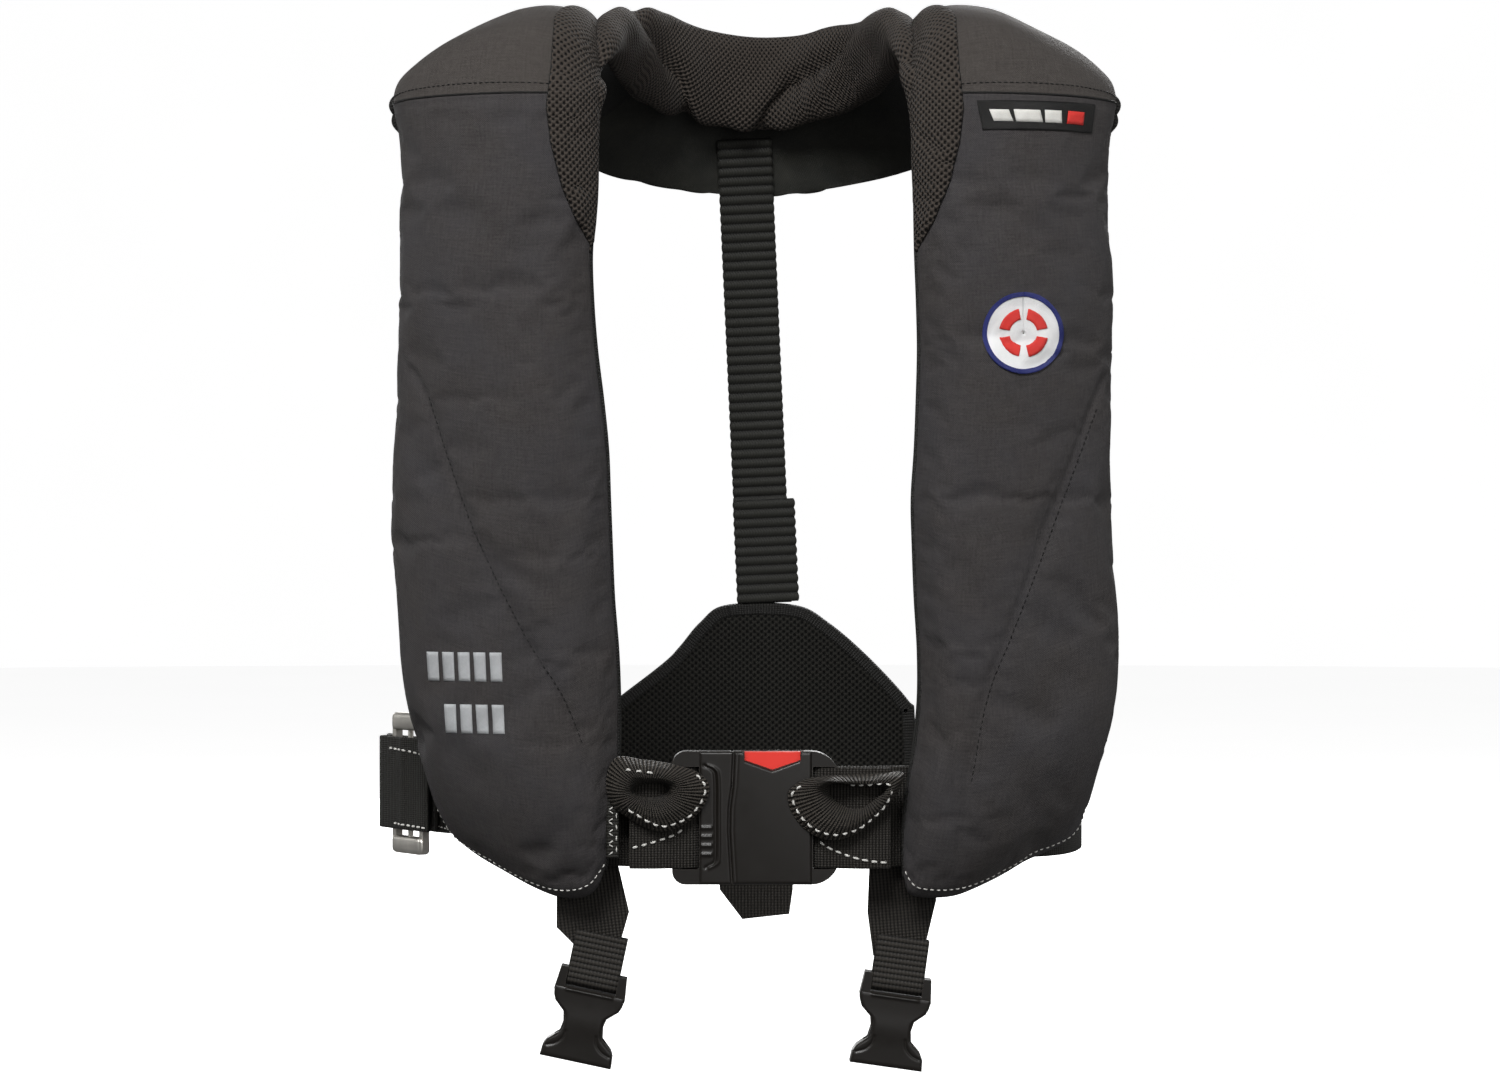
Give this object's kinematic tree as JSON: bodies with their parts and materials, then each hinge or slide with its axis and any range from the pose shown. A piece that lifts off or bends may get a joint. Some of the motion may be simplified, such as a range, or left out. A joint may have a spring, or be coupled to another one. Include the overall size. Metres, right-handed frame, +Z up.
{
  "type": "inflatable life jacket",
  "caption": "Folded twin-chamber inflatable life jacket with padded mesh collar, click waist buckle, slide adjuster, back strap, back pad and leg-strap buckles.",
  "frame": {"origin": "the wearer's neck axis, level with the seam between the front lobes and the shoulder yokes", "axes": "+Z up along the worn jacket, +Y towards the wearer's back so the front faces -Y, +X towards the wearer's left"},
  "size_m": [0.398, 0.2461, 0.5678],
  "materials": {
    "cover_fabric": "woven nylon, matt",
    "yoke_fabric": "woven nylon, matt",
    "lining_fabric": "plain weave, matt",
    "spacer_mesh": "3-D spacer mesh",
    "webbing": "ribbed polyester webbing",
    "bladder": "coated nylon",
    "red_cord": "braided cord",
    "black_plastic": "satin moulded",
    "red_plastic": "moulded",
    "yellow_plastic": "moulded",
    "clear_plastic": "clear moulded",
    "steel": "polished stainless steel",
    "cylinder_steel": "zinc plated"
  },
  "bodies": {
    "jacket": {"back_pad": "spacer_mesh", "back_pad_binding": "lining_fabric", "back_strap": "webbing", "back_strap_patch": "webbing", "belt_keeper": "webbing", "belt_loop_left": "webbing", "belt_loop_right": "webbing", "bladder_inner_chamber": "bladder", "bladder_outer_chamber": "bladder", "buckle_housing": "black_plastic", "button_spring": "steel", "collar_back": "cover_fabric", "collar_flap": "lining_fabric", "cover_left": "cover_fabric", "cover_right": "cover_fabric", "crotch_strap": "webbing", "inflation_valve_left": "black_plastic", "inflation_valve_right": "black_plastic", "inflator_body_left": "yellow_plastic", "inflator_body_right": "yellow_plastic", "inflator_cap_left": "red_plastic", "inflator_cap_right": "red_plastic", "lever_pin_left": "steel", "lever_pin_right": "steel", "light_battery": "yellow_plastic", "light_lens": "clear_plastic", "lining_left": "lining_fabric", "lining_right": "lining_fabric", "neck_mesh_pad": "spacer_mesh", "oral_tube_left": "black_plastic", "oral_tube_right": "black_plastic", "waist_belt": "webbing", "whistle": "yellow_plastic", "yoke_left": "yoke_fabric", "yoke_lining_left": "lining_fabric", "yoke_lining_right": "lining_fabric", "yoke_right": "yoke_fabric"},
    "buckle_tongue": {"buckle_tongue": "black_plastic"},
    "buckle_button": {"buckle_button": "red_plastic"},
    "adjuster": {"adjuster_frame": "steel", "adjuster_bar": "steel", "belt_end_loop": "webbing"},
    "leg_strap_right": {"leg_strap_right": "webbing", "leg_loop_right": "webbing"},
    "leg_buckle_right": {"leg_buckle_right": "black_plastic"},
    "pull_toggle_right": {"pull_toggle_right": "red_plastic", "pull_cord_right": "red_cord"},
    "inflator_lever_right": {"inflator_lever_right": "red_plastic"},
    "co2_cylinder_right": {"co2_cylinder_right": "cylinder_steel"},
    "oral_tube_cap_right": {"oral_tube_cap_right": "red_plastic"},
    "leg_strap_left": {"leg_strap_left": "webbing", "leg_loop_left": "webbing"},
    "leg_buckle_left": {"leg_buckle_left": "black_plastic"},
    "pull_toggle_left": {"pull_toggle_left": "red_plastic", "pull_cord_left": "red_cord"},
    "inflator_lever_left": {"inflator_lever_left": "red_plastic"},
    "co2_cylinder_left": {"co2_cylinder_left": "cylinder_steel"},
    "oral_tube_cap_left": {"oral_tube_cap_left": "red_plastic"}
  },
  "joints": [
    {"name": "buckle_release", "type": "slide", "parent": "jacket", "child": "buckle_tongue", "axis": [-1, 0, 0], "range_m": [0, 0.024], "deforming": ["belt_loop_right"]},
    {"name": "button_press", "type": "slide", "parent": "jacket", "child": "buckle_button", "axis": [0, 0, -1], "range_m": [0, 0.003], "stiffness_N_per_m": 600, "deforming": ["button_spring"]},
    {"name": "adjuster_slide", "type": "slide", "parent": "jacket", "child": "adjuster", "axis": [-0.5832, 0.8123, 0], "range_m": [-0.01, 0.01]},
    {"name": "leg_strap_right_swing", "type": "hinge", "parent": "jacket", "child": "leg_strap_right", "pos_m": [-0.087, -0.093, -0.4044], "axis": [1, 0, 0], "range_deg": [-8, 75]},
    {"name": "leg_buckle_right_swing", "type": "hinge", "parent": "leg_strap_right", "child": "leg_buckle_right", "pos_m": [-0.085, -0.093, -0.465], "axis": [0.978, 0, -0.2085], "range_deg": [-55, 55]},
    {"name": "pull_right", "type": "slide", "parent": "jacket", "child": "pull_toggle_right", "axis": [0.0803, 0.1737, -0.9815], "range_m": [0, 0.04]},
    {"name": "inflator_lever_right_turn", "type": "hinge", "parent": "jacket", "child": "inflator_lever_right", "pos_m": [-0.13999, -0.08638, -0.352], "axis": [0.4196, 0.9077, 0], "range_deg": [0, 77]},
    {"name": "co2_cylinder_right_turn", "type": "hinge", "parent": "jacket", "child": "co2_cylinder_right", "pos_m": [-0.14245, -0.10122, -0.27], "axis": [0, 0, 1], "continuous": true},
    {"name": "oral_tube_cap_right_pull", "type": "slide", "parent": "jacket", "child": "oral_tube_cap_right", "axis": [0, 0, -1], "range_m": [0, 0.02]},
    {"name": "leg_strap_left_swing", "type": "hinge", "parent": "jacket", "child": "leg_strap_left", "pos_m": [0.0775, -0.093, -0.4044], "axis": [1, 0, 0], "range_deg": [-8, 75]},
    {"name": "leg_buckle_left_swing", "type": "hinge", "parent": "leg_strap_left", "child": "leg_buckle_left", "pos_m": [0.0745, -0.093, -0.467], "axis": [0.9902, 0, -0.1395], "range_deg": [-55, 55]},
    {"name": "pull_left", "type": "slide", "parent": "jacket", "child": "pull_toggle_left", "axis": [-0.087, 0.1705, -0.9815], "range_m": [0, 0.04]},
    {"name": "inflator_lever_left_turn", "type": "hinge", "parent": "jacket", "child": "inflator_lever_left", "pos_m": [0.14323, -0.08772, -0.352], "axis": [0.4545, -0.8907, 0], "range_deg": [0, 77]},
    {"name": "co2_cylinder_left_turn", "type": "hinge", "parent": "jacket", "child": "co2_cylinder_left", "pos_m": [0.14626, -0.10245, -0.27], "axis": [0, 0, 1], "continuous": true},
    {"name": "oral_tube_cap_left_pull", "type": "slide", "parent": "jacket", "child": "oral_tube_cap_left", "axis": [0, 0, -1], "range_m": [0, 0.02]}
  ],
  "couplings": [
    {"joint": "inflator_lever_right_turn", "follows": "pull_right", "rad_per_m": 33.333},
    {"joint": "inflator_lever_left_turn", "follows": "pull_left", "rad_per_m": 33.333}
  ]
}
